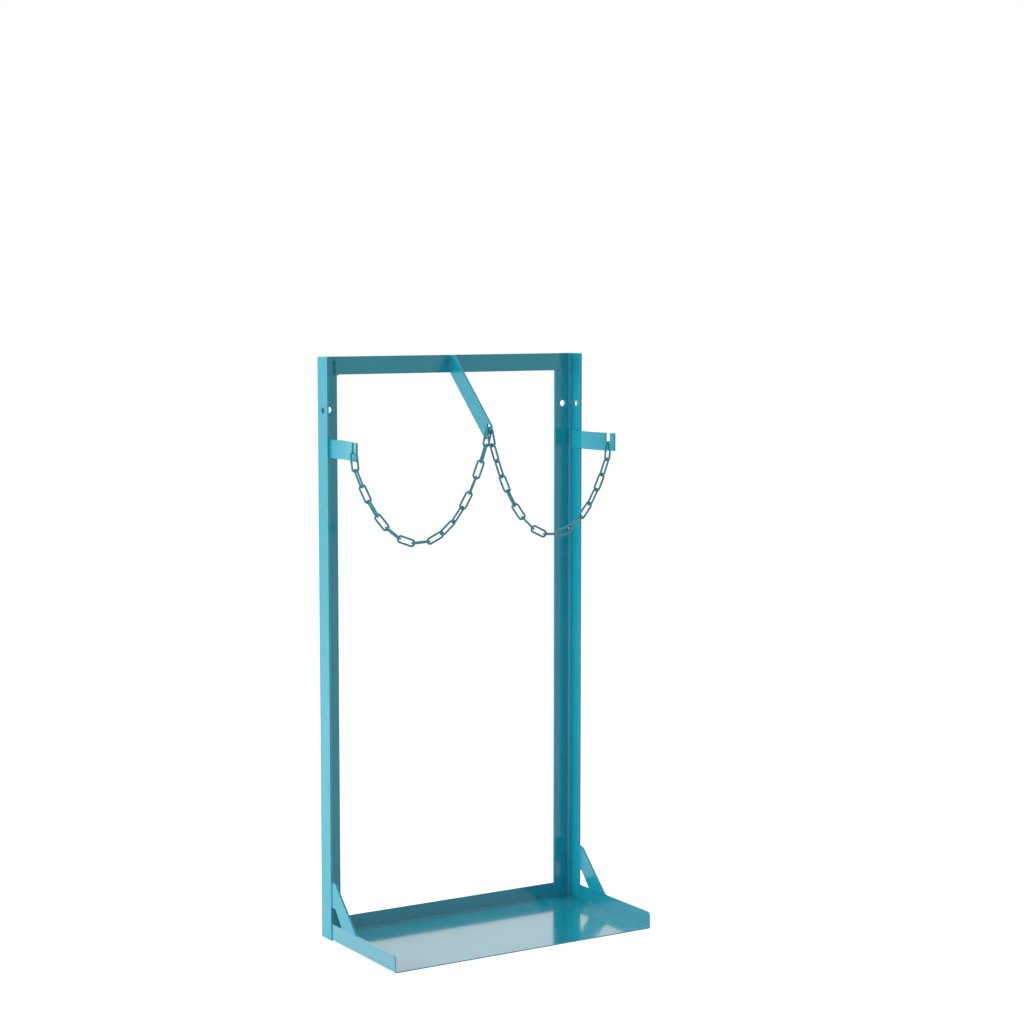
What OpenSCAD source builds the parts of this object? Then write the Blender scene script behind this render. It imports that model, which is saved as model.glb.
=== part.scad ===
// Two-bay stand, welded from angle iron and flat bar on a folded sheet tray.
// A chain hangs across each bay, from a slotted side bracket to the hole in the centre arm.
// Millimetres. The origin is on the floor under the middle of the tray: +X right, +Y back, +Z up.

/* [Tray] */
// Width over the side flanges
tray_w = 562; // [520:1:610]
// Depth, from the open front edge to the back
tray_d = 288; // [270:1:340]
// Thickness of the sheet
tray_t = 2; // [1.5:0.5:2.5]
// Height of the flanges above the floor
flange_h = 32; // [20:1:40]
// Outer radius of the folds
fold_r = 3.5; // [3:0.5:5]
// Radius of the side flanges' front top corners
flange_corner_r = 8; // [3:1:12]

/* [Uprights] */
// Step from the tray's sides out to the uprights' outer faces
leg_proud = 2; // [1:0.5:2]
// Height of the angle-iron uprights
upright_h = 1106; // [1000:1:1250]
// Width of the rear leg of the angle
rear_leg_w = 40; // [36:1:50]
// Depth of the side leg of the angle
side_leg_d = 40; // [32:1:45]
// Thickness of both legs
angle_t = 4; // [3:0.5:5]
// Fillet in the inner corner of the angle
root_r = 5; // [3:0.5:7]
// Rounding on the inner edge of each leg
toe_r = 2; // [1:0.5:2.5]
// Rounding on the outer corner of the angle
heel_r = 1.5; // [0.5:0.5:2.5]
// Diameter of the hole through each leg
leg_hole_d = 12; // [8:0.5:14]
// Depth of those holes below the top
leg_hole_drop = 100; // [60:1:120]
// Distance of the rear leg's hole from the outer corner
rear_hole_gauge = 22; // [18:1:26]
// Distance of the side leg's hole from the outer corner
side_hole_gauge = 22; // [15:1:24]

/* [Crossbar] */
// Height of the crossbar
bar_w = 34; // [30:1:40]
// Thickness of the crossbar
bar_t = 5; // [4:0.5:6]
// Overlap of the crossbar on each rear leg
crossbar_lap = 6.5; // [4:0.5:12]

/* [Centre arm] */
// Width of the arm's flat bar
arm_w = 35; // [32:1:40]
// Thickness of the arm
arm_t = 4; // [3.5:0.5:4]
// Slope of the arm below horizontal, in degrees
arm_slope = 43; // [40:1:46]
// Length of the arm's lower edge
arm_len = 180; // [165:1:190]
// Diameter of the hole that holds both chains
arm_hole_d = 12; // [12:0.5:13]
// Distance of that hole from the end cut and from the upper edge
arm_hole_gauge = 8.5; // [8.5:0.5:10]

/* [Gussets] */
// Thickness of the gussets and the side brackets
plate_t = 4; // [3:0.5:4]
// Height of a gusset's top above the floor
gusset_top = 112; // [100:1:140]
// Width of the blunt top
gusset_nose = 14; // [8:1:18]
// Forward reach of the foot from the side leg
gusset_reach = 96; // [85:1:110]
// Height of the window's top above the floor
window_top = 64; // [56:1:72]
// Width of the window's blunt top
window_nose = 13; // [3:1:18]
// Forward reach of the window from the side leg
window_reach = 40; // [36:1:50]

/* [Side brackets] */
// Height of the brackets' lower edge above the floor
bracket_z = 918; // [860:1:930]
// Height of the bracket strip
bracket_w = 35; // [32:1:40]
// Length that laps on the inner face of the side leg
bracket_tab = 24; // [15:1:26]
// Forward reach from the side leg to the crank
crank_reach = 37; // [35:1:55]
// Distance of the crank inside the tray's side
crank_in = 12; // [9:0.5:16]
// Length from the crank to the front end
hook_len = 81; // [70:1:90]
// Outward splay of the front length, in degrees
hook_splay = 10; // [5:1:12]
// Width of the open slot
slot_w = 12; // [10:0.5:14]
// Depth of the slot
slot_d = 21; // [17:0.5:24]
// Distance of the slot's middle from the front end
slot_from_end = 18.5; // [15:0.5:25]

/* [Chains] */
// Wire diameter of the links
wire_d = 4; // [3.5:0.25:4]
// Inside length of a link
link_len = 32; // [31:0.5:33]
// Inside width of a link
link_w = 8; // [8:0.5:10]
// Lean of each first link away from its bracket, in degrees
first_link_lean = 6; // [2:1:7]
// Lean of each last link away from the arm, in degrees
last_link_lean = 12.5; // [11.5:0.25:13]
// Clearance where two links, or a link and its seat, meet
link_clear = 0.3; // [0.2:0.05:0.4]

/* [Hidden] */
$fn = 48;

// Paint as the photograph shows it
paint = [0.16, 0.60, 0.68];
chain_paint = [0.12, 0.50, 0.58];

// Overrun of every cut
over = 1;

// Planes that the pieces share
tray_half = tray_w/2;
half_w = tray_half + leg_proud;
back_y = tray_d/2;
front_y = -tray_d/2;
toe_y = back_y - side_leg_d;
leg_face_y = back_y - angle_t;
bar_face_y = leg_face_y - bar_t;
crossbar_z = upright_h - bar_w;
hole_z = upright_h - leg_hole_drop;

// Centre arm, in the Y-Z plane
arm_dir = [cos(arm_slope), sin(arm_slope)];
arm_up = [-sin(arm_slope), cos(arm_slope)];
arm_root = [bar_face_y, crossbar_z];
arm_tip = arm_root - arm_len*arm_dir;
arm_tip_top = arm_tip + arm_w*arm_up;
arm_trim = arm_tip_top + (upright_h - arm_tip_top[1])/arm_dir[1]*arm_dir;
arm_hole = arm_tip_top + arm_hole_gauge*(arm_dir - arm_up);

// Side bracket, in plan, as the path of its outer face from the back to the front
hook_dir = [-sin(hook_splay), -cos(hook_splay)];
bracket_start = [-half_w + angle_t, toe_y + bracket_tab];
bracket_toe = [-half_w + angle_t, toe_y];
bracket_crank = [-half_w + crank_in, toe_y - crank_reach];
bracket_end = bracket_crank + hook_len*hook_dir;
bracket_path = [bracket_start, bracket_toe, bracket_crank, bracket_end];
bracket_top = bracket_z + bracket_w;
slot_seat_z = bracket_top - slot_d;
slot_mid = bracket_end - slot_from_end*hook_dir + plate_t/2*inward(hook_dir);

// Link wire, measured on its centre line
wire_r = wire_d/2;
bend_r = link_w/2 + wire_r;
straight = link_len - link_w;
// Distance between the pins that a link holds: its own ends, or the wires inside its ends
outer_span = link_len + wire_d;
inner_span = link_len - wire_d - 2*link_clear;

// First link: its upper bend sits on the slot's seat, clear of both faces of the bracket
first_bend_z = slot_seat_z + link_clear - sqrt(pow(link_w/2, 2) - pow(plate_t/2, 2));
first_bend = [slot_mid[0], slot_mid[1], first_bend_z];
first_dir = [sin(first_link_lean)*cos(hook_splay), -sin(first_link_lean)*sin(hook_splay),
             -cos(first_link_lean)];
first_pin = first_bend + (straight/2 + inner_span/2)*first_dir;

// Last link: its upper bend hangs in the arm's hole, beside the other chain's last link
last_step = (wire_d + link_clear)/2 + 0.1;
face_bend = sqrt(pow(bend_r, 2) - pow(arm_t/2, 2));
face_wire = face_bend - sqrt(pow(link_w/2, 2) - pow(arm_t/2, 2));
last_room = arm_hole_d/2 - face_wire - link_clear;
last_bend_z = arm_hole[1] - sqrt(pow(last_room, 2) - pow(last_step, 2)) - face_bend;
last_dir = [-sin(last_link_lean), 0, -cos(last_link_lean)];
function last_bend(side) = [0, arm_hole[0] + (side == "left" ? last_step : -last_step), last_bend_z];
function last_pin(side) = last_bend(side) + (straight + bend_r)*last_dir;

// The other links hang free: the tangent of each link's slope steps evenly along the chain
link_count = 16;
free_count = link_count - 2;
spans = [for (k = [0:free_count - 1]) k % 2 == 0 ? outer_span : inner_span];
rounds = 36;
slope_limit = 60;
step_limit = 8;

// Every second link lies flat; from this one on, a quarter turn spreads to the last link
turn_from = 8;
function roll(k) = (k % 2 == 1 ? 90 : 0) + (k > turn_from ? 90*(k - turn_from)/(link_count - turn_from) : 0);

function total(v) = v*[for (x = v) 1];
function slope_at(start, step, k) = atan(start + step*k);
function reach(start, step) = total([for (k = [0:free_count - 1]) spans[k]*cos(slope_at(start, step, k))]);
function climb(start, step) = total([for (k = [0:free_count - 1]) spans[k]*sin(slope_at(start, step, k))]);
function find_start(step, rise, low, high, left) =
    left == 0 ? (low + high)/2
    : let (mid = (low + high)/2)
      climb(mid, step) < rise ? find_start(step, rise, mid, high, left - 1)
                              : find_start(step, rise, low, mid, left - 1);
function find_step(run, rise, low, high, left) =
    left == 0 ? (low + high)/2
    : let (mid = (low + high)/2, start = find_start(mid, rise, -slope_limit, slope_limit, rounds))
      reach(start, mid) > run ? find_step(run, rise, mid, high, left - 1)
                              : find_step(run, rise, low, mid, left - 1);

// Slopes of the free links between the first pin and a seat
function hang(seat) =
    let (run = norm([seat[0] - first_pin[0], seat[1] - first_pin[1]]),
         rise = seat[2] - first_pin[2],
         step = find_step(run, rise, 0, step_limit, rounds),
         start = find_start(step, rise, -slope_limit, slope_limit, rounds))
    [for (k = [0:free_count - 1]) slope_at(start, step, k)];

function heading(seat) = atan2(seat[1] - first_pin[1], seat[0] - first_pin[0]);
function along(turn, slope) = [cos(slope)*cos(turn), cos(slope)*sin(turn), sin(slope)];

left_hang = hang(last_pin("left"));
right_hang = hang(last_pin("right"));

function slopes_of(side) = side == "left" ? left_hang : right_hang;

// Pin at the far end of free link k, counted from 1; pin 0 is the first pin
function pin(side, k) =
    k == 0 ? first_pin
    : pin(side, k - 1) + spans[k - 1]*along(heading(last_pin(side)), slopes_of(side)[k - 1]);

// Unit vector to the inner side of a direction in plan, and the mitre at a corner
function inward(dir) = [-dir[1], dir[0]];
function unit(v) = v/norm(v);
function mitre(a, b, thick) = thick*(inward(a) + inward(b))/(1 + inward(a)*inward(b));

// A flat outline given as [y, z], made a plate of thickness thick about the plane x = 0
module plate_yz(thick) {
    rotate([90, 0, 90])
        linear_extrude(height = thick, center = true)
            children();
}

// Draws the left-hand piece, or its mirror image on the right
module on_side(side) {
    if (side == "left") children();
    else mirror([1, 0, 0]) children();
}

// What is cut away to round a square corner at the origin, for a piece in the +X +Y quarter
module corner_waste(r) {
    difference() {
        translate([-over, -over]) square(r + over);
        translate([r, r]) circle(r);
    }
}

// Sheet profile of a flange in plan X and height Y, with its fold, outer face at x = 0
module flange_profile() {
    difference() {
        square([fold_r, flange_h]);
        translate([tray_t, fold_r]) square([fold_r, flange_h]);
        translate([fold_r, fold_r]) circle(fold_r - tray_t);
        corner_waste(fold_r);
    }
}

module tray_flange(length) {
    rotate([90, 0, 0])
        linear_extrude(height = length)
            flange_profile();
}

module side_flange() {
    difference() {
        translate([-tray_half, toe_y, 0]) tray_flange(toe_y - front_y);
        translate([-tray_half + fold_r/2, 0, 0])
            plate_yz(fold_r + 2*over)
                translate([front_y, flange_h])
                    mirror([0, 1])
                        corner_waste(flange_corner_r);
    }
}

module tray_floor() {
    inner_w = tray_half - fold_r;
    corner_w = half_w - angle_t;
    difference() {
        union() {
            translate([-inner_w, front_y, 0])
                cube([2*inner_w, toe_y - front_y, tray_t]);
            translate([-corner_w, toe_y, 0])
                cube([2*corner_w, leg_face_y - toe_y, tray_t]);
            translate([-half_w + rear_leg_w, toe_y, 0])
                cube([2*(half_w - rear_leg_w), back_y - fold_r - toe_y, tray_t]);
        }
        for (side = ["left", "right"])
            on_side(side)
                translate([-corner_w, leg_face_y, -over])
                    rotate([0, 0, -45])
                        translate([-root_r, -root_r/sqrt(2), 0])
                            cube([2*root_r, root_r*sqrt(2), tray_t + 2*over]);
    }
}

module tray() {
    color(paint)
        union() {
            tray_floor();
            side_flange();
            mirror([1, 0, 0]) side_flange();
            translate([-half_w + rear_leg_w, back_y, 0])
                rotate([0, 0, -90])
                    translate([0, 2*(half_w - rear_leg_w), 0])
                        tray_flange(2*(half_w - rear_leg_w));
        }
}

// Angle section in plan, outer corner at the origin, side leg along -Y and rear leg along +X
module angle_section() {
    difference() {
        union() {
            translate([0, -side_leg_d]) square([angle_t, side_leg_d]);
            translate([0, -angle_t]) square([rear_leg_w, angle_t]);
            translate([angle_t, -angle_t - root_r]) square(root_r);
        }
        translate([angle_t + root_r, -angle_t - root_r]) circle(root_r);
        mirror([0, 1]) corner_waste(heel_r);
        translate([angle_t, -side_leg_d]) mirror([1, 0]) corner_waste(toe_r);
        translate([rear_leg_w, -angle_t]) mirror([1, 0]) corner_waste(toe_r);
    }
}

module upright() {
    color(paint)
        difference() {
            translate([-half_w, back_y, 0])
                linear_extrude(height = upright_h)
                    angle_section();
            translate([-half_w - over, back_y - side_hole_gauge, hole_z])
                rotate([0, 90, 0])
                    cylinder(d = leg_hole_d, h = angle_t + 2*over);
            translate([-half_w + rear_hole_gauge, back_y + over, hole_z])
                rotate([90, 0, 0])
                    cylinder(d = leg_hole_d, h = angle_t + 2*over);
        }
}

crossbar_half = half_w - rear_leg_w + crossbar_lap;

module crossbar() {
    color(paint)
        translate([-crossbar_half, bar_face_y, crossbar_z])
            cube([2*crossbar_half, bar_t, bar_w]);
}

module centre_arm() {
    color(paint)
        plate_yz(arm_t)
            difference() {
                polygon([arm_root, arm_tip, arm_tip_top, arm_trim, [bar_face_y, upright_h]]);
                translate(arm_hole) circle(d = arm_hole_d);
            }
}

// One closed link of round wire, long axis along X and width along Y
module wire_link() {
    for (end = [0, 1])
        mirror([end, 0, 0])
            translate([straight/2, 0, 0])
                rotate([0, 0, -90])
                    rotate_extrude(angle = 180)
                        translate([bend_r, 0]) circle(wire_r);
    for (side = [-1, 1])
        translate([-straight/2, side*bend_r, 0])
            rotate([0, 90, 0])
                cylinder(r = wire_r, h = straight);
}

module gusset() {
    color(paint)
        translate([-tray_half + plate_t/2, 0, 0])
            plate_yz(plate_t)
                polygon([
                    [toe_y, gusset_top],
                    [toe_y - gusset_nose, gusset_top],
                    [toe_y - gusset_reach, flange_h],
                    [toe_y - window_reach, flange_h],
                    [toe_y - window_nose, window_top],
                    [toe_y, window_top]
                ]);
}

module bracket_outline() {
    path = bracket_path;
    dirs = [for (i = [0:2]) unit(path[i + 1] - path[i])];
    polygon([
        path[0], path[1], path[2], path[3],
        path[3] + plate_t*inward(dirs[2]),
        path[2] + mitre(dirs[1], dirs[2], plate_t),
        path[1] + mitre(dirs[0], dirs[1], plate_t),
        path[0] + plate_t*inward(dirs[0])
    ]);
}

module bracket() {
    color(paint)
        difference() {
            translate([0, 0, bracket_z])
                linear_extrude(height = bracket_w)
                    bracket_outline();
            translate([slot_mid[0], slot_mid[1], slot_seat_z + slot_w/2])
                rotate([0, 0, -hook_splay]) {
                    rotate([0, 90, 0])
                        cylinder(d = slot_w, h = plate_t + 2*over, center = true);
                    translate([-plate_t/2 - over, -slot_w/2, 0])
                        cube([plate_t + 2*over, slot_w, slot_d]);
                }
        }
}

module chain_link(side, k) {
    color(chain_paint)
        on_side(side)
            if (k == 1)
                translate(first_bend + straight/2*first_dir)
                    rotate([0, 0, -hook_splay])
                        rotate([0, 90 - first_link_lean, 0])
                            rotate([90, 0, 0])
                                wire_link();
            else if (k == link_count)
                translate(last_bend(side) + straight/2*last_dir)
                    rotate([0, 90 + last_link_lean, 0])
                        rotate([90, 0, 0])
                            wire_link();
            else
                translate((pin(side, k - 2) + pin(side, k - 1))/2)
                    rotate([0, 0, heading(last_pin(side))])
                        rotate([0, -slopes_of(side)[k - 2], 0])
                            rotate([roll(k), 0, 0])
                                wire_link();
}

// A weld bead of round section from one point to another
module bead(from, to, r) {
    run = to - from;
    translate(from)
        rotate([0, acos(run[2]/norm(run)), atan2(run[1], run[0])])
            cylinder(r = r, h = norm(run));
}

bead_r = 2;
bead_in = 2;
tack_r = 2.4;
tack_len = 5;
// The welds up the toe of the side leg fill the step on its outer side
butt_x = -tray_half + tray_t/2;
butt_set = 0.2;
butt_r = leg_proud + tray_t/2 - butt_set;

module crossbar_welds() {
    color(paint)
        for (side = ["left", "right"])
            on_side(side) {
                bead([-crossbar_half, leg_face_y, crossbar_z + bead_in],
                     [-crossbar_half, leg_face_y, upright_h - bead_in], bead_r);
                bead([-half_w + rear_leg_w, leg_face_y, crossbar_z + bead_in],
                     [-half_w + rear_leg_w, leg_face_y, upright_h - bead_in], bead_r);
                bead([-crossbar_half + bead_in, leg_face_y - bead_r/2, crossbar_z],
                     [-half_w + rear_leg_w, leg_face_y - bead_r/2, crossbar_z], bead_r);
            }
}

module arm_welds() {
    color(paint)
        for (side = ["left", "right"])
            on_side(side)
                bead([-arm_t/2, bar_face_y, crossbar_z + bead_in],
                     [-arm_t/2, bar_face_y, upright_h - bead_in], bead_r);
}

module gusset_welds() {
    foot_y = toe_y - gusset_reach;
    mid_x = -tray_half + plate_t/2;
    color(paint)
        for (side = ["left", "right"])
            on_side(side) {
                bead([mid_x, toe_y - bead_r/2, gusset_top],
                     [mid_x, toe_y - bead_r/2 - tack_len, gusset_top], tack_r);
                bead([mid_x, foot_y, flange_h], [mid_x, foot_y + tack_len/2, flange_h], tack_r);
                bead([butt_x, toe_y, window_top + bead_in],
                     [butt_x, toe_y, gusset_top - bead_in], butt_r);
                bead([-tray_half + tray_t, foot_y + tack_len, flange_h],
                     [-tray_half + tray_t, toe_y - window_reach, flange_h], bead_r);
            }
}

module bracket_welds() {
    color(paint)
        for (side = ["left", "right"])
            on_side(side) {
                bead([-half_w + angle_t, toe_y, bracket_z + bead_in],
                     [-half_w + angle_t, toe_y, bracket_top - bead_in], bead_r);
                bead([-half_w + angle_t, toe_y + bracket_tab, bracket_z + bead_in],
                     [-half_w + angle_t, toe_y + bracket_tab, bracket_top - bead_in], bead_r);
            }
}

module tray_welds() {
    color(paint)
        for (side = ["left", "right"])
            on_side(side) {
                bead([butt_x, toe_y, tray_t + bead_in],
                     [butt_x, toe_y, flange_h - bead_in], butt_r);
                bead([-half_w + rear_leg_w, leg_face_y + bead_r, tray_t + bead_in],
                     [-half_w + rear_leg_w, leg_face_y + bead_r, flange_h - bead_in], bead_r);
            }
}

tray();
upright();  // left_upright
on_side("right") upright();  // right_upright
crossbar();
centre_arm();
gusset();  // left_gusset
on_side("right") gusset();  // right_gusset
bracket();  // left_bracket
on_side("right") bracket();  // right_bracket
crossbar_welds();
arm_welds();
gusset_welds();
bracket_welds();
tray_welds();
chain_link("left", 1);  // left_link_01
chain_link("left", 2);  // left_link_02
chain_link("left", 3);  // left_link_03
chain_link("left", 4);  // left_link_04
chain_link("left", 5);  // left_link_05
chain_link("left", 6);  // left_link_06
chain_link("left", 7);  // left_link_07
chain_link("left", 8);  // left_link_08
chain_link("left", 9);  // left_link_09
chain_link("left", 10);  // left_link_10
chain_link("left", 11);  // left_link_11
chain_link("left", 12);  // left_link_12
chain_link("left", 13);  // left_link_13
chain_link("left", 14);  // left_link_14
chain_link("left", 15);  // left_link_15
chain_link("left", 16);  // left_link_16
chain_link("right", 1);  // right_link_01
chain_link("right", 2);  // right_link_02
chain_link("right", 3);  // right_link_03
chain_link("right", 4);  // right_link_04
chain_link("right", 5);  // right_link_05
chain_link("right", 6);  // right_link_06
chain_link("right", 7);  // right_link_07
chain_link("right", 8);  // right_link_08
chain_link("right", 9);  // right_link_09
chain_link("right", 10);  // right_link_10
chain_link("right", 11);  // right_link_11
chain_link("right", 12);  // right_link_12
chain_link("right", 13);  // right_link_13
chain_link("right", 14);  // right_link_14
chain_link("right", 15);  // right_link_15
chain_link("right", 16);  // right_link_16
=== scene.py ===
"""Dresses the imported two-bay stand: folded tray, angle uprights, flat bars, welds and hanging chains.

The steelwork keeps the CAD model's shapes, with broken edges and a powder coat.  The chain links and
the weld beads are modelled here at the places that the CAD model gives them.
"""

from __future__ import annotations

import logging
import math
from dataclasses import dataclass, field
from enum import Enum
from typing import NamedTuple

import bpy
import numpy as np
from mathutils import Matrix, Vector

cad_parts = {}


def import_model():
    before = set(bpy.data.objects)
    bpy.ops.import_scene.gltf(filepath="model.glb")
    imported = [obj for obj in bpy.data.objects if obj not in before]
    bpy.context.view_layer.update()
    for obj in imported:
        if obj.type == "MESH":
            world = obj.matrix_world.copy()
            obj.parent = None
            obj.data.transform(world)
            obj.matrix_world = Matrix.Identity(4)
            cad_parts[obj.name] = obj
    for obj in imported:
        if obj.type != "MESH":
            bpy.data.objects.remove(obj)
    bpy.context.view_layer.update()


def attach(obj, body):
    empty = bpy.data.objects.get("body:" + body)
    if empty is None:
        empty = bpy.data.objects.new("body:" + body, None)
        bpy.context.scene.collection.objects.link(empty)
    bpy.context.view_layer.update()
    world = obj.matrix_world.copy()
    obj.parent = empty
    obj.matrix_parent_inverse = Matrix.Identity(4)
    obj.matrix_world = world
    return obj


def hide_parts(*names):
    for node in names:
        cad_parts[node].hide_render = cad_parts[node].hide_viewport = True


LOG = logging.getLogger("stand")
MM = 0.001

Triple = tuple[float, float, float]
BeadRow = tuple[Triple, Triple, float]


class Body(Enum):
    """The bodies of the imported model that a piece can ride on."""

    FRAME = "frame"
    LEFT_CHAIN = "left_chain"
    RIGHT_CHAIN = "right_chain"


class Side(Enum):
    """The two mirrored halves of the stand, with the sign of X on each."""

    LEFT = -1
    RIGHT = 1

    @property
    def word(self) -> str:
        """The side's name as the nodes write it."""
        return self.name.lower()


class Socket(Enum):
    """The kinds of socket on the shared node groups."""

    VECTOR = "NodeSocketVector"
    FLOAT = "NodeSocketFloat"
    COLOUR = "NodeSocketColor"


class Grain(NamedTuple):
    """How fine a noise is: its cycles a metre, and its octaves."""

    scale: float
    octaves: float


class Span(NamedTuple):
    """The two ends of a range of values."""

    low: float
    high: float


FULL_SPAN = Span(0.0, 1.0)


def deselect_all() -> None:
    """Leaves object mode with nothing selected."""
    if bpy.context.object and bpy.context.object.mode != "OBJECT":
        bpy.ops.object.mode_set(mode="OBJECT")
    bpy.ops.object.select_all(action="DESELECT")


def pick(piece: bpy.types.Object) -> None:
    """Makes one object the only one selected, and the active one.

    Args:
        piece: the object to work on.
    """
    deselect_all()
    piece.select_set(True)
    bpy.context.view_layer.objects.active = piece


def bake_place(piece: bpy.types.Object) -> None:
    """Moves an object's place, turn and scale into its mesh.

    Args:
        piece: the object, whose own origin ends at the scene's.
    """
    pick(piece)
    bpy.ops.object.transform_apply(location=True, rotation=True, scale=True)


def apply_all(piece: bpy.types.Object) -> None:
    """Applies every modifier on an object, in order.

    Args:
        piece: the object with the modifiers.
    """
    pick(piece)
    for modifier in list(piece.modifiers):
        bpy.ops.object.modifier_apply(modifier=modifier.name)


def smooth(piece: bpy.types.Object, degrees: float) -> None:
    """Shades an object smooth wherever its faces meet at less than an angle.

    Args:
        piece: the object to shade.
        degrees: faces that meet more sharply keep a hard edge.
    """
    pick(piece)
    bpy.ops.object.shade_smooth_by_angle(angle=math.radians(degrees))


def settle(piece: bpy.types.Object, body: Body, material: bpy.types.Material,
           stands_for: tuple[str, ...]) -> None:
    """Gives a finished piece its material, its body and the nodes that it stands for.

    Args:
        piece: the finished object, with its place in its mesh.
        body: the CAD body that it moves with.
        material: its finish.
        stands_for: the CAD nodes that it hides.
    """
    piece.data.materials.clear()
    piece.data.materials.append(material)
    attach(piece, body.value)
    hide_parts(*stands_for)
    LOG.info("%s rides on %s: %d faces", piece.name, body.value, len(piece.data.polygons))


def opaque(colour: Triple) -> tuple[float, float, float, float]:
    """Adds a full alpha to a linear RGB colour."""
    return (*colour, 1.0)


class NodeBench:
    """A short way to add and join shader nodes in one tree."""

    spacing = 180

    def __init__(self, tree: bpy.types.NodeTree) -> None:
        """Keeps the tree that the nodes go into.

        Args:
            tree: the node tree of a material, a world or a group.
        """
        self.tree = tree
        self.column = 0

    def add(self, kind: str, **settings: object) -> bpy.types.Node:
        """Adds a node and sets its properties.

        Args:
            kind: the node's type name.
            **settings: properties of the node.

        Returns:
            The new node.
        """
        made = self.tree.nodes.new(kind)
        self.column += 1
        made.location = (self.spacing * self.column, 0)
        for key, value in settings.items():
            setattr(made, key, value)
        return made

    def join(self, source: bpy.types.NodeSocket, target: bpy.types.NodeSocket) -> None:
        """Links an output to an input."""
        self.tree.links.new(source, target)

    def put(self, target: bpy.types.NodeSocket, value: object) -> None:
        """Links an output to an input, or gives the input a plain value.

        Args:
            target: the input.
            value: an output socket, a number or an RGBA colour.
        """
        if isinstance(value, bpy.types.NodeSocket):
            self.join(value, target)
        else:
            target.default_value = value

    def feed(self, node: bpy.types.Node, values: dict[str, object]) -> None:
        """Puts something into each named input of a node.

        Args:
            node: the node.
            values: its inputs' names, with a socket or a plain value for each.
        """
        for name, value in values.items():
            self.put(node.inputs[name], value)

    def noise(self, place: bpy.types.NodeSocket, grain: Grain) -> bpy.types.NodeSocket:
        """Adds a noise texture.

        Args:
            place: the coordinates that it reads.
            grain: how fine it is.

        Returns:
            The noise's value, about 0.3 to 0.7.
        """
        made = self.add("ShaderNodeTexNoise")
        self.feed(made, {"Vector": place, "Scale": grain.scale, "Detail": grain.octaves})
        return made.outputs["Fac"]

    def stretch(self, value: bpy.types.NodeSocket, source: Span,
                target: Span = FULL_SPAN) -> bpy.types.NodeSocket:
        """Maps a value's range onto another, and clamps it.

        Args:
            value: what is mapped.
            source: the range that it comes from.
            target: the range that it goes to.

        Returns:
            The mapped value.
        """
        made = self.add("ShaderNodeMapRange")
        self.feed(made, {"Value": value, "From Min": source.low, "From Max": source.high,
                         "To Min": target.low, "To Max": target.high})
        return made.outputs["Result"]

    def math(self, operation: str, first: object, second: object) -> bpy.types.NodeSocket:
        """Adds a maths node; an operand is a socket or a number.

        Args:
            operation: Blender's name of the operation.
            first: the first operand.
            second: the second operand.

        Returns:
            The result.
        """
        made = self.add("ShaderNodeMath", operation=operation)
        self.put(made.inputs[0], first)
        self.put(made.inputs[1], second)
        return made.outputs[0]

    def mix(self, share: bpy.types.NodeSocket, first: object, second: object) -> bpy.types.NodeSocket:
        """Mixes two colours; each is a socket or an RGBA colour.

        Args:
            share: how much of the second colour shows.
            first: the colour at a share of 0.
            second: the colour at a share of 1.

        Returns:
            The mixed colour.
        """
        made = self.add("ShaderNodeMix", data_type="RGBA")
        self.join(share, made.inputs["Factor"])
        colours = {spot.name: spot for spot in made.inputs if spot.type == "RGBA"}
        self.put(colours["A"], first)
        self.put(colours["B"], second)
        return next(spot for spot in made.outputs if spot.type == "RGBA")


class GroupBench(NodeBench):
    """A bench for a new shader node group with named sockets."""

    def __init__(self, name: str, takes: dict[str, Socket], gives: dict[str, Socket]) -> None:
        """Starts the group.

        Args:
            name: the group's name.
            takes: input names and their kinds.
            gives: output names and their kinds.
        """
        super().__init__(bpy.data.node_groups.new(name, "ShaderNodeTree"))
        for label, kind in takes.items():
            self.tree.interface.new_socket(label, in_out="INPUT", socket_type=kind.value)
        for label, kind in gives.items():
            self.tree.interface.new_socket(label, in_out="OUTPUT", socket_type=kind.value)
        self.way_in = self.add("NodeGroupInput")
        self.way_out = self.add("NodeGroupOutput")

    def taken(self, label: str) -> bpy.types.NodeSocket:
        """Finds what the group takes in under a name."""
        return self.way_in.outputs[label]

    def give(self, label: str, value: bpy.types.NodeSocket) -> None:
        """Sends a value out of the group under a name."""
        self.join(value, self.way_out.inputs[label])


def empty_bench(owner: bpy.types.Material | bpy.types.World) -> NodeBench:
    """Clears a material's or a world's shader nodes.

    Args:
        owner: the material or the world.

    Returns:
        A bench for its tree.
    """
    owner.use_nodes = True
    owner.node_tree.nodes.clear()
    return NodeBench(owner.node_tree)


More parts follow.
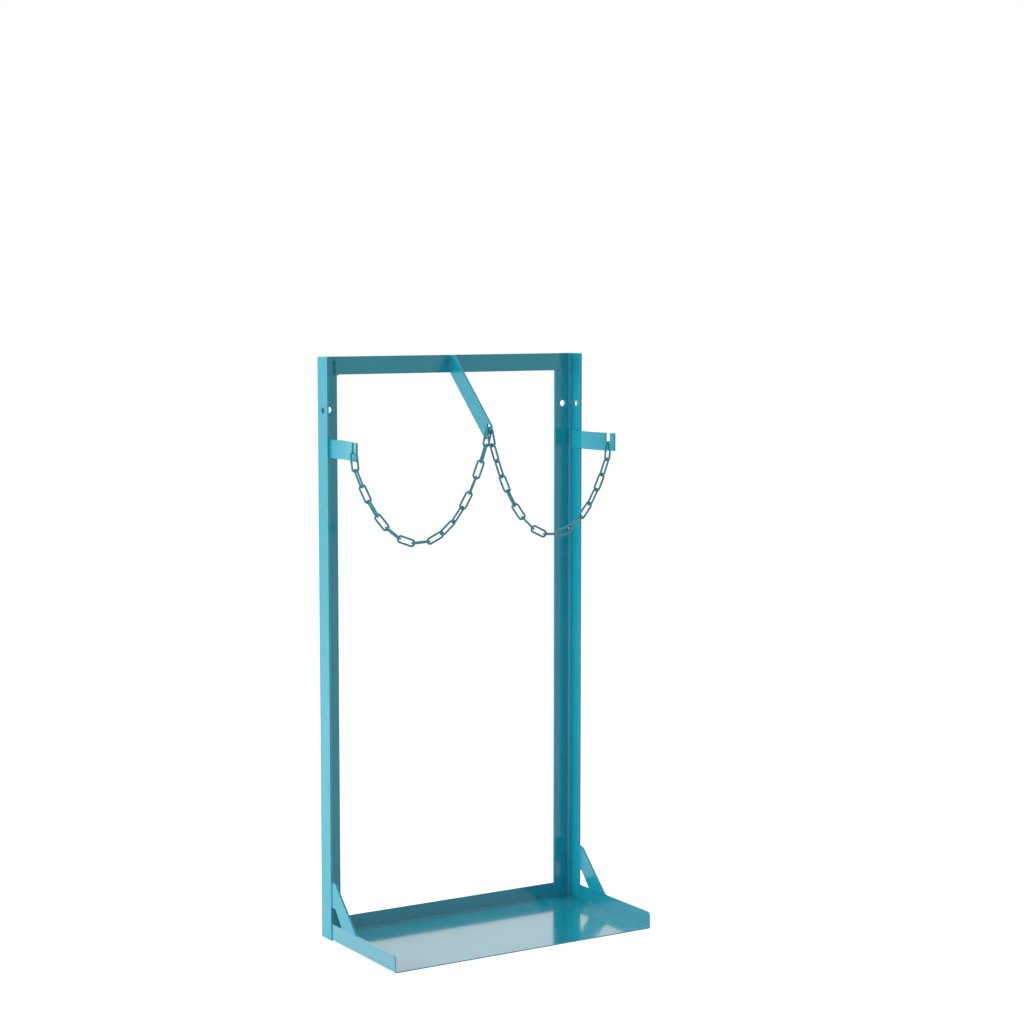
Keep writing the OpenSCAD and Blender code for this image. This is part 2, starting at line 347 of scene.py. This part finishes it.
@dataclass
class SharedEffects:
    """The node groups that more than one finish uses.

    A grain is how fine a noise is, and a span is the part of a mask's range that counts, from none
    to full.  Dust_held is the share of the dust that stays on steep faces and on level ones.
    """

    drift_grain: Grain = Grain(5.0, 2.0)
    mottle_grain: Grain = Grain(90.0, 3.0)
    mottle_share: float = 0.35
    thin_span: Span = Span(0.36, 0.66)
    peel_grain: Grain = Grain(420.0, 1.5)
    grit_grain: Grain = Grain(260.0, 0.0)
    grit_span: Span = Span(0.74, 0.82)
    upward_span: Span = Span(0.3, 1.0)
    dust_held: Span = Span(0.25, 1.0)
    cloud_grain: Grain = Grain(14.0, 5.0)
    cloud_span: Span = Span(0.42, 0.72)
    film: bpy.types.NodeTree = field(init=False)
    peel: bpy.types.NodeTree = field(init=False)
    dust: bpy.types.NodeTree = field(init=False)

    def __post_init__(self) -> None:
        """Builds each group once."""
        self.film = self._film()
        self.peel = self._peel()
        self.dust = self._dust()

    def _film(self) -> bpy.types.NodeTree:
        """Uneven thickness of sprayed powder: broad drifts and small mottles.

        Returns:
            The group.
        """
        takes = {"Place": Socket.VECTOR, "Full": Socket.COLOUR, "Thin": Socket.COLOUR,
                 "Amount": Socket.FLOAT}
        bench = GroupBench("film_thickness", takes, {"Colour": Socket.COLOUR})
        place = bench.taken("Place")
        drift = bench.math("MULTIPLY", bench.noise(place, self.drift_grain), 1 - self.mottle_share)
        mottle = bench.math("MULTIPLY", bench.noise(place, self.mottle_grain), self.mottle_share)
        thinned = bench.stretch(bench.math("ADD", drift, mottle), self.thin_span)
        share = bench.math("MULTIPLY", thinned, bench.taken("Amount"))
        bench.give("Colour", bench.mix(share, bench.taken("Full"), bench.taken("Thin")))
        return bench.tree

    def _peel(self) -> bpy.types.NodeTree:
        """Orange peel and the odd pinhead of grit in the coat.

        Returns:
            The group.
        """
        takes = {"Place": Socket.VECTOR, "Ripple": Socket.FLOAT, "Grit": Socket.FLOAT}
        bench = GroupBench("orange_peel", takes, {"Height": Socket.FLOAT})
        place = bench.taken("Place")
        ripple = bench.math("MULTIPLY", bench.noise(place, self.peel_grain), bench.taken("Ripple"))
        speck = bench.stretch(bench.noise(place, self.grit_grain), self.grit_span)
        grit = bench.math("MULTIPLY", speck, bench.taken("Grit"))
        bench.give("Height", bench.math("ADD", ripple, grit))
        return bench.tree

    def _dust(self) -> bpy.types.NodeTree:
        """Dust and dull handling marks that raise the roughness, most on faces that look up.

        Returns:
            The group.
        """
        takes = {"Place": Socket.VECTOR, "Facing": Socket.VECTOR, "Clean": Socket.FLOAT,
                 "Dull": Socket.FLOAT}
        bench = GroupBench("dust_and_marks", takes, {"Roughness": Socket.FLOAT, "Dust": Socket.FLOAT})
        facing = bench.add("ShaderNodeSeparateXYZ")
        bench.join(bench.taken("Facing"), facing.inputs["Vector"])
        upward = bench.stretch(facing.outputs["Z"], self.upward_span, self.dust_held)
        clouds = bench.stretch(bench.noise(bench.taken("Place"), self.cloud_grain), self.cloud_span)
        dust = bench.math("MULTIPLY", upward, clouds)
        spread = bench.math("MULTIPLY", dust, bench.taken("Dull"))
        bench.give("Roughness", bench.math("ADD", bench.taken("Clean"), spread))
        bench.give("Dust", dust)
        return bench.tree


@dataclass(frozen=True)
class CoatFinish:
    """A glossy powder coat, with colours as linear RGB.

    The film's colour runs from full to thin.  Clean is the roughness of bare coat, and dull is what
    dust adds to it.  Ripple and grit are bump heights as shares of peel_height.
    """

    name: str
    full: Triple
    thin: Triple
    dust: Triple = (0.30, 0.52, 0.56)
    clean: float = 0.20
    dull: float = 0.10
    ripple: float = 0.45
    grit: float = 0.25
    peel_height: float = 0.1 * MM
    peel_strength: float = 0.35
    unevenness: float = 0.8
    dust_share: float = 0.10
    coat: float = 0.25
    coat_roughness: float = 0.10

    def build(self, effects: SharedEffects) -> bpy.types.Material:
        """Builds the material from the shared groups.

        Args:
            effects: the node groups.

        Returns:
            The material.
        """
        material = bpy.data.materials.new(self.name)
        bench = empty_bench(material)
        place = bench.add("ShaderNodeTexCoord").outputs["Object"]
        facing = bench.add("ShaderNodeNewGeometry").outputs["Normal"]
        film = bench.add("ShaderNodeGroup", node_tree=effects.film)
        bench.feed(film, {"Place": place, "Full": opaque(self.full), "Thin": opaque(self.thin),
                          "Amount": self.unevenness})
        peel = bench.add("ShaderNodeGroup", node_tree=effects.peel)
        bench.feed(peel, {"Place": place, "Ripple": self.ripple, "Grit": self.grit})
        dust = bench.add("ShaderNodeGroup", node_tree=effects.dust)
        bench.feed(dust, {"Place": place, "Facing": facing, "Clean": self.clean, "Dull": self.dull})
        settled = bench.math("MULTIPLY", dust.outputs["Dust"], self.dust_share)
        colour = bench.mix(settled, film.outputs["Colour"], opaque(self.dust))
        bump = bench.add("ShaderNodeBump")
        bench.feed(bump, {"Strength": self.peel_strength, "Distance": self.peel_height,
                          "Height": peel.outputs["Height"]})
        shader = bench.add("ShaderNodeBsdfPrincipled")
        bench.feed(shader, {"Base Color": colour, "Roughness": dust.outputs["Roughness"],
                            "Normal": bump.outputs["Normal"], "Coat Weight": self.coat,
                            "Coat Roughness": self.coat_roughness})
        output = bench.add("ShaderNodeOutputMaterial")
        bench.join(shader.outputs["BSDF"], output.inputs["Surface"])
        return material


@dataclass
class Finishes:
    """Every finish on the stand."""

    effects: SharedEffects
    sheet: bpy.types.Material = field(init=False)
    section: bpy.types.Material = field(init=False)
    weld: bpy.types.Material = field(init=False)
    chain: bpy.types.Material = field(init=False)

    def __post_init__(self) -> None:
        """Builds the materials."""
        sheet = CoatFinish("tray_coat", full=(0.003, 0.350, 0.470), thin=(0.012, 0.410, 0.535),
                           clean=0.15, dull=0.05, dust_share=0.12, coat=1.0)
        section = CoatFinish("steel_coat", full=(0.003, 0.395, 0.530), thin=(0.012, 0.450, 0.590))
        weld = CoatFinish("weld_coat", full=(0.004, 0.340, 0.440), thin=(0.020, 0.420, 0.520),
                          clean=0.26, grit=0.9)
        chain = CoatFinish("chain_coat", full=(0.004, 0.270, 0.350), thin=(0.030, 0.370, 0.450),
                           clean=0.24, unevenness=1.0, coat=0.3)
        self.sheet = sheet.build(self.effects)
        self.section = section.build(self.effects)
        self.weld = weld.build(self.effects)
        self.chain = chain.build(self.effects)


@dataclass
class Steelwork:
    """The tray, uprights, bars, gussets and brackets: the CAD shapes with broken edges.

    Faces within level degrees of one plane become one face, and edges sharper than corner degrees
    are broken.  Rounded and creased are the degrees up to which faces are shaded as one.
    """

    finishes: Finishes
    edge: float = 0.5 * MM
    fine_edge: float = 0.35 * MM
    edge_segments: int = 2
    merge: float = 0.002 * MM
    level: float = 0.5
    corner: float = 40
    rounded: float = 35
    creased: float = 15
    face_weight: int = 100

    def build(self) -> None:
        """Makes a dressed copy of each steel node."""
        sheet, section = self.finishes.sheet, self.finishes.section
        self._dress("tray", sheet, self.fine_edge, self.rounded)
        for node in ("left_upright", "right_upright", "crossbar", "centre_arm", "left_gusset",
                     "right_gusset"):
            self._dress(node, section, self.edge, self.rounded)
        for node in ("left_bracket", "right_bracket"):
            self._dress(node, section, self.edge, self.creased)

    def _dress(self, node: str, material: bpy.types.Material, edge: float, flow: float) -> None:
        """Copies a node's mesh, cleans it and breaks its edges.

        Args:
            node: the CAD node.
            material: its finish.
            edge: the width of the broken edges.
            flow: faces that meet by fewer degrees are shaded as one.
        """
        source = bpy.data.objects[node]
        piece = bpy.data.objects.new(f"{node}_coated", source.data.copy())
        bpy.context.scene.collection.objects.link(piece)
        pick(piece)
        bpy.ops.object.mode_set(mode="EDIT")
        bpy.ops.mesh.select_all(action="SELECT")
        bpy.ops.mesh.remove_doubles(threshold=self.merge)
        bpy.ops.mesh.dissolve_limited(angle_limit=math.radians(self.level))
        bpy.ops.object.mode_set(mode="OBJECT")
        bevel = piece.modifiers.new("broken_edges", "BEVEL")
        bevel.width = edge
        bevel.segments = self.edge_segments
        bevel.limit_method = "ANGLE"
        bevel.angle_limit = math.radians(self.corner)
        bevel.use_clamp_overlap = True
        apply_all(piece)
        smooth(piece, flow)
        flat = piece.modifiers.new("flat_faces", "WEIGHTED_NORMAL")
        flat.weight = self.face_weight
        flat.keep_sharp = True
        apply_all(piece)
        settle(piece, Body.FRAME, material, (node,))


@dataclass(frozen=True)
class HandUnevenness:
    """How the drops of a bead stray from its line and its size, as in welding by hand.

    The phases are in radians, and stray is a share of a drop's radius.
    """

    drop_phase: float = 1.7
    bead_phase: float = 2.3
    right_phase: float = 0.9
    cross_pace: float = 1.3
    size_pace: float = 2.1
    stray: float = 0.06

    def phase(self, drop: int, bead: int, side: Side) -> float:
        """Works out where a drop is in the wander.

        Args:
            drop: its place in the bead.
            bead: the bead's place in its group.
            side: the side that it is laid on.

        Returns:
            The phase.
        """
        start = self.right_phase if side is Side.RIGHT else 0.0
        return self.drop_phase * drop + self.bead_phase * bead + start

    def shift(self, phase: float, radius: float) -> Vector:
        """Moves a drop a little off the line.

        Args:
            phase: the drop's phase.
            radius: its nominal radius.

        Returns:
            The way from its place on the line.
        """
        return Vector((math.sin(phase), math.cos(self.cross_pace * phase), 0)) * self.stray * radius

    def size(self, phase: float, radius: float) -> float:
        """Makes a drop a little smaller than its nominal size.

        Args:
            phase: the drop's phase.
            radius: its nominal radius.

        Returns:
            Its radius.
        """
        return radius * (1 - self.stray + self.stray * math.sin(self.size_pace * phase))


@dataclass
class WeldBeads:
    """Rows of drops along the joints, drawn together into one rippled skin for each group.

    The lengths down to window_reach are the CAD model's, on the left side, and the right side
    mirrors them.  Bead, butt and tack are the radii of the beads.  Inset is how far a bead stops
    short of a joint's ends, pitch_share is the most that its drops are apart as a share of their
    radius, and skin is the remesh's voxel.  Faces within rounded degrees are shaded as one.
    """

    finishes: Finishes
    half_width: float = 283 * MM
    sheet_half: float = 281 * MM
    back: float = 144 * MM
    side_leg: float = 40 * MM
    rear_leg: float = 40 * MM
    leg_thick: float = 4 * MM
    sheet_thick: float = 2 * MM
    flange: float = 32 * MM
    bar_thick: float = 5 * MM
    bar_height: float = 34 * MM
    arm_thick: float = 4 * MM
    top: float = 1106 * MM
    lap: float = 6.5 * MM
    bracket_low: float = 918 * MM
    bracket_high: float = 953 * MM
    bracket_tab: float = 24 * MM
    gusset_thick: float = 4 * MM
    gusset_top: float = 112 * MM
    gusset_reach: float = 96 * MM
    window_top: float = 64 * MM
    window_reach: float = 40 * MM
    bead: float = 2.0 * MM
    butt: float = 2.8 * MM
    tack: float = 2.4 * MM
    tack_length: float = 5 * MM
    inset: float = 2 * MM
    pitch_share: float = 0.85
    drop_segments: int = 16
    drop_rings: int = 10
    skin: float = 0.42 * MM
    relax: float = 0.5
    relax_rounds: int = 2
    rounded: float = 60
    hand: HandUnevenness = HandUnevenness()

    def build(self) -> None:
        """Models the five groups of welds."""
        toe = self.back - self.side_leg
        leg_face = self.back - self.leg_thick
        wall = -self.half_width
        leg_toe = wall + self.rear_leg
        butt = self.sheet_thick / 2 - self.sheet_half
        self._crossbar_and_arm(leg_face, wall, leg_toe)
        self._gusset(toe, butt)
        leg = wall + self.leg_thick
        tab = toe + self.bracket_tab
        low, high = self._inset_ends(self.bracket_low, self.bracket_high)
        self._group("bracket_welds", [
            self._upright_row(leg, toe, low, high, self.bead),
            self._upright_row(leg, tab, low, high, self.bead),
        ])
        low, high = self._inset_ends(self.sheet_thick, self.flange)
        self._group("tray_welds", [
            self._upright_row(butt, toe, low, high, self.butt),
            self._upright_row(leg_toe, leg_face + self.bead, low, high, self.bead),
        ])

    def _crossbar_and_arm(self, leg_face: float, wall: float, leg_toe: float) -> None:
        """Welds the crossbar to the uprights and the arm to the crossbar.

        Args:
            leg_face: the inner face of the uprights' rear legs, along Y.
            wall: the left upright's outer face, along X.
            leg_toe: the free edge of its rear leg, along X.
        """
        bar_low = self.top - self.bar_height
        lap_end = wall + self.rear_leg - self.lap
        under = leg_face - self.bead / 2
        low, high = self._inset_ends(bar_low, self.top)
        self._group("crossbar_welds", [
            self._upright_row(lap_end, leg_face, low, high, self.bead),
            self._upright_row(leg_toe, leg_face, low, high, self.bead),
            ((lap_end + self.inset, under, bar_low), (leg_toe, under, bar_low), self.bead),
        ])
        side = -self.arm_thick / 2
        self._group("arm_welds", [
            self._upright_row(side, leg_face - self.bar_thick, low, high, self.bead),
        ])

    def _gusset(self, toe: float, butt: float) -> None:
        """Welds the gussets to the uprights and to the tray's flanges.

        Args:
            toe: the free edge of the uprights' side legs, along Y.
            butt: the middle of the left flange's thickness, along X.
        """
        middle = self.gusset_thick / 2 - self.sheet_half
        rim = self.sheet_thick - self.sheet_half
        foot = toe - self.gusset_reach
        near = toe - self.bead / 2
        top, rest = self.gusset_top, self.flange
        low, high = self._inset_ends(self.window_top, top)
        self._group("gusset_welds", [
            ((middle, near, top), (middle, near - self.tack_length, top), self.tack),
            ((middle, foot, rest), (middle, foot + self.tack_length / 2, rest), self.tack),
            self._upright_row(butt, toe, low, high, self.butt),
            ((rim, foot + self.tack_length, rest), (rim, toe - self.window_reach, rest), self.bead),
        ])

    def _inset_ends(self, low: float, high: float) -> Span:
        """Finds a bead's ends a little inside those of its joint."""
        return Span(low + self.inset, high - self.inset)

    @staticmethod
    def _upright_row(across: float, along: float, low: float, high: float, radius: float) -> BeadRow:
        """Describes a bead that runs straight up.

        Args:
            across: its place along X.
            along: its place along Y.
            low: the height of its start.
            high: the height of its end.
            radius: its radius.

        Returns:
            Its start, end and radius.
        """
        return (across, along, low), (across, along, high), radius

    def _group(self, node: str, rows: list[BeadRow]) -> None:
        """Models one group of beads on both sides.

        Args:
            node: the CAD node that the group replaces.
            rows: the start, end and radius of each bead on the left side.
        """
        drops = []
        for side in Side:
            for number, (start, end, radius) in enumerate(rows):
                drops += self._drops(Vector(start), Vector(end), radius, side, number)
        deselect_all()
        for drop in drops:
            drop.select_set(True)
        piece = drops[0]
        bpy.context.view_layer.objects.active = piece
        bpy.ops.object.join()
        piece.name = piece.data.name = f"{node}_beads"
        remesh = piece.modifiers.new("skin", "REMESH")
        remesh.mode = "VOXEL"
        remesh.voxel_size = self.skin
        relax = piece.modifiers.new("flow", "SMOOTH")
        relax.factor = self.relax
        relax.iterations = self.relax_rounds
        apply_all(piece)
        smooth(piece, self.rounded)
        settle(piece, Body.FRAME, self.finishes.weld, (node,))

    def _drops(self, start: Vector, end: Vector, radius: float, side: Side,
               number: int) -> list[bpy.types.Object]:
        """Lays the drops of one bead, each a little off line and off size.

        Args:
            start: where the bead starts, on the left side.
            end: where it ends.
            radius: a drop's radius.
            side: the side that the bead is laid on.
            number: the bead's place in its group, which varies its drops.

        Returns:
            The drops.
        """
        run = end - start
        count = max(2, math.ceil(run.length / (self.pitch_share * radius)))
        drops = []
        for step in range(count + 1):
            phase = self.hand.phase(step, number, side)
            place = start + run * (step / count) + self.hand.shift(phase, radius)
            place.x *= -side.value
            bpy.ops.mesh.primitive_uv_sphere_add(
                segments=self.drop_segments, ring_count=self.drop_rings,
                radius=self.hand.size(phase, radius), location=place)
            drop = bpy.context.object
            bake_place(drop)
            drops.append(drop)
        return drops


@dataclass
class WireLink:
    """One closed link of round wire, with the ridge of its butt weld on one side.

    Wire is the wire's radius, and bend is the radius of its middle line round the ends.  Stations
    are where the ridge is cut across, and ridge_end is how far out it rises, as shares of
    ridge_half.  Faces within rounded degrees are shaded as one.
    """

    wire: float = 2 * MM
    bend: float = 6 * MM
    straight: float = 24 * MM
    around: int = 40
    section: int = 16
    ridge: float = 0.35 * MM
    ridge_half: float = 1.6 * MM
    ridge_end: float = 0.9
    stations: tuple[float, ...] = (-1.0, -0.6, -0.2, 0.2, 0.6, 1.0)
    rounded: float = 50

    def build(self) -> bpy.types.Mesh:
        """Pulls a ring apart into a link and raises the ridge.

        Returns:
            The link's mesh, long axis along X and width along Y, about the origin.
        """
        deselect_all()
        bpy.ops.mesh.primitive_torus_add(major_segments=self.around, minor_segments=self.section,
                                         major_radius=self.bend, minor_radius=self.wire,
                                         rotation=(0, 0, math.pi / self.around))
        ring = bpy.context.object
        bake_place(ring)
        for corner in ring.data.vertices:
            corner.co.x += math.copysign(self.straight / 2, corner.co.x)
        bpy.ops.object.mode_set(mode="EDIT")
        for station in self.stations:
            bpy.ops.mesh.select_all(action="SELECT")
            bpy.ops.mesh.bisect(plane_co=(station * self.ridge_half, 0, 0), plane_no=(1, 0, 0))
        bpy.ops.object.mode_set(mode="OBJECT")
        for corner in ring.data.vertices:
            if corner.co.y > 0 and abs(corner.co.x) < self.ridge_end * self.ridge_half:
                away = Vector((0, corner.co.y - self.bend, corner.co.z))
                swell = self.ridge * math.cos(0.5 * math.pi * corner.co.x / self.ridge_half)
                corner.co += away.normalized() * swell
        smooth(ring, self.rounded)
        mesh = ring.data.copy()
        bpy.data.objects.remove(ring)
        return mesh


@dataclass
class HangingChains:
    """Both chains, with a modelled link at the place of each CAD link.

    A CAD link's corners are rounded to that many decimals of a metre, and equal ones count once.
    """

    finishes: Finishes
    link: WireLink = field(default_factory=WireLink)
    count: int = 16
    decimals: int = 7

    def build(self) -> None:
        """Places a copy of the link on every CAD link."""
        pattern = self.link.build()
        for side in Side:
            moving = Body(f"{side.word}_chain")
            for number in range(1, self.count + 1):
                body = Body.FRAME if number in (1, self.count) else moving
                self._hang(pattern, f"{side.word}_link_{number:02d}", body)

    def _hang(self, pattern: bpy.types.Mesh, node: str, body: Body) -> None:
        """Copies the link onto one CAD link.

        Args:
            pattern: the modelled link.
            node: the CAD link's name.
            body: the body that it moves with.
        """
        piece = bpy.data.objects.new(f"{node}_wire", pattern.copy())
        bpy.context.scene.collection.objects.link(piece)
        piece.data.transform(self._frame_of(node))
        settle(piece, body, self.finishes.chain, (node,))

    def _frame_of(self, node: str) -> Matrix:
        """Reads a CAD link's place and turn from its shape.

        Its corners spread most along its length, and next across its width.

        Args:
            node: the CAD link's name.

        Returns:
            The matrix from the modelled link to the CAD link.
        """
        points = np.array([v.co for v in bpy.data.objects[node].data.vertices], float)
        points = np.unique(points.round(self.decimals), axis=0)
        middle = points.mean(axis=0)
        turn = np.linalg.svd(points - middle, full_matrices=False)[2]
        local = (points - middle) @ turn.T
        middle = middle + ((local.max(axis=0) + local.min(axis=0)) / 2) @ turn
        if turn[0][2] < 0:
            turn[0] = -turn[0]
        turn[2] = np.cross(turn[0], turn[1])
        matrix = Matrix(turn.T.tolist()).to_4x4()
        matrix.translation = Vector(middle)
        return matrix


@dataclass(frozen=True)
class Softbox:
    """A square soft light that faces a point, and isn't seen itself or in a reflection."""

    name: str
    place: Triple
    target: Triple
    size: float
    watts: float

    def build(self) -> None:
        """Adds the light."""
        data = bpy.data.lights.new(self.name, "AREA")
        data.shape = "SQUARE"
        data.size = self.size
        data.energy = self.watts
        lamp = bpy.data.objects.new(self.name, data)
        lamp.location = self.place
        aim = Vector(self.target) - Vector(self.place)
        lamp.rotation_euler = aim.to_track_quat("-Z", "Y").to_euler()
        lamp.visible_camera = False
        lamp.visible_glossy = False
        bpy.context.scene.collection.objects.link(lamp)


@dataclass
class Studio:
    """The pale floor, the lights and the camera.

    Places, sizes, reach and sight are in metres, tilt and pan in degrees, and the lens and the
    sensor in millimetres.  Sight is how far the camera sees.  For the rays that the background
    shows to, the floor's glow goes from its low end to its high end over the reach from the stand.
    """

    eye: Triple = (-2.2071, -3.6681, 1.2184)
    tilt: float = 84.632
    pan: float = -31.673
    lens: float = 79.91
    sensor: float = 36.0
    shift: float = -0.0021
    sight: float = 100
    floor_size: float = 40.0
    floor_grey: float = 0.86
    ambient: float = 0.30
    glow: Span = Span(0.55, 0.78)
    reach: Span = Span(0.7, 2.4)
    lamps: tuple[Softbox, ...] = (
        Softbox("left_softbox", (-3.45, 1.1, 1.4), (0, 0, 0.62), size=3.0, watts=96.0),
        Softbox("overhead_softbox", (0.3, 0.9, 3.4), (0, 0, 0), size=2.6, watts=42.0),
    )

    def build(self) -> None:
        """Sets up the whole studio."""
        self._view()
        self._world()
        self._floor()
        for lamp in self.lamps:
            lamp.build()

    def _view(self) -> None:
        """Adds the camera at the photograph's viewpoint."""
        data = bpy.data.cameras.new("camera")
        data.lens = self.lens
        data.sensor_width = self.sensor
        data.sensor_fit = "HORIZONTAL"
        data.shift_y = self.shift
        data.clip_end = self.sight
        camera = bpy.data.objects.new("camera", data)
        camera.location = self.eye
        camera.rotation_euler = (math.radians(self.tilt), 0, math.radians(self.pan))
        bpy.context.scene.collection.objects.link(camera)
        bpy.context.scene.camera = camera
        bpy.context.scene.view_settings.view_transform = "Standard"

    def _world(self) -> None:
        """Makes a world that lights at a low level and shows as white."""
        world = bpy.data.worlds.new("studio")
        bench = empty_bench(world)
        level = bench.stretch(self._seen(bench), FULL_SPAN, Span(self.ambient, 1.0))
        shade = bench.add("ShaderNodeBackground")
        bench.feed(shade, {"Color": opaque((1, 1, 1)), "Strength": level})
        output = bench.add("ShaderNodeOutputWorld")
        bench.join(shade.outputs["Background"], output.inputs["Surface"])
        bpy.context.scene.world = world

    @staticmethod
    def _seen(bench: NodeBench) -> bpy.types.NodeSocket:
        """Finds the rays that the background shows to.

        Args:
            bench: the tree that the nodes go into.

        Returns:
            1 for camera, glossy and transmission rays, and 0 for the rest.
        """
        path = bench.add("ShaderNodeLightPath")
        either = bench.math("MAXIMUM", path.outputs["Is Camera Ray"], path.outputs["Is Glossy Ray"])
        return bench.math("MAXIMUM", either, path.outputs["Is Transmission Ray"])

    def _floor(self) -> None:
        """Lays the floor, white wherever nothing shades it."""
        deselect_all()
        bpy.ops.mesh.primitive_plane_add(size=self.floor_size)
        floor = bpy.context.object
        floor.name = "studio_floor"
        material = bpy.data.materials.new("pale_floor")
        bench = empty_bench(material)
        diffuse = bench.add("ShaderNodeBsdfDiffuse")
        bench.feed(diffuse, {"Color": opaque((self.floor_grey,) * 3)})
        distance = bench.add("ShaderNodeVectorMath", operation="LENGTH")
        bench.join(bench.add("ShaderNodeTexCoord").outputs["Object"], distance.inputs[0])
        level = bench.stretch(distance.outputs["Value"], self.reach, self.glow)
        glow = bench.add("ShaderNodeEmission")
        bench.feed(glow, {"Strength": bench.math("MULTIPLY", self._seen(bench), level)})
        both = bench.add("ShaderNodeAddShader")
        bench.join(diffuse.outputs["BSDF"], both.inputs[0])
        bench.join(glow.outputs["Emission"], both.inputs[1])
        output = bench.add("ShaderNodeOutputMaterial")
        bench.join(both.outputs["Shader"], output.inputs["Surface"])
        floor.data.materials.append(material)


def main() -> None:
    """Builds the studio and every piece of the stand, in order."""
    logging.basicConfig(level=logging.INFO, format="%(name)s: %(message)s")
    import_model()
    Studio().build()
    finishes = Finishes(SharedEffects())
    Steelwork(finishes).build()
    WeldBeads(finishes).build()
    HangingChains(finishes).build()
    deselect_all()


if __name__ == "__main__":
    main()
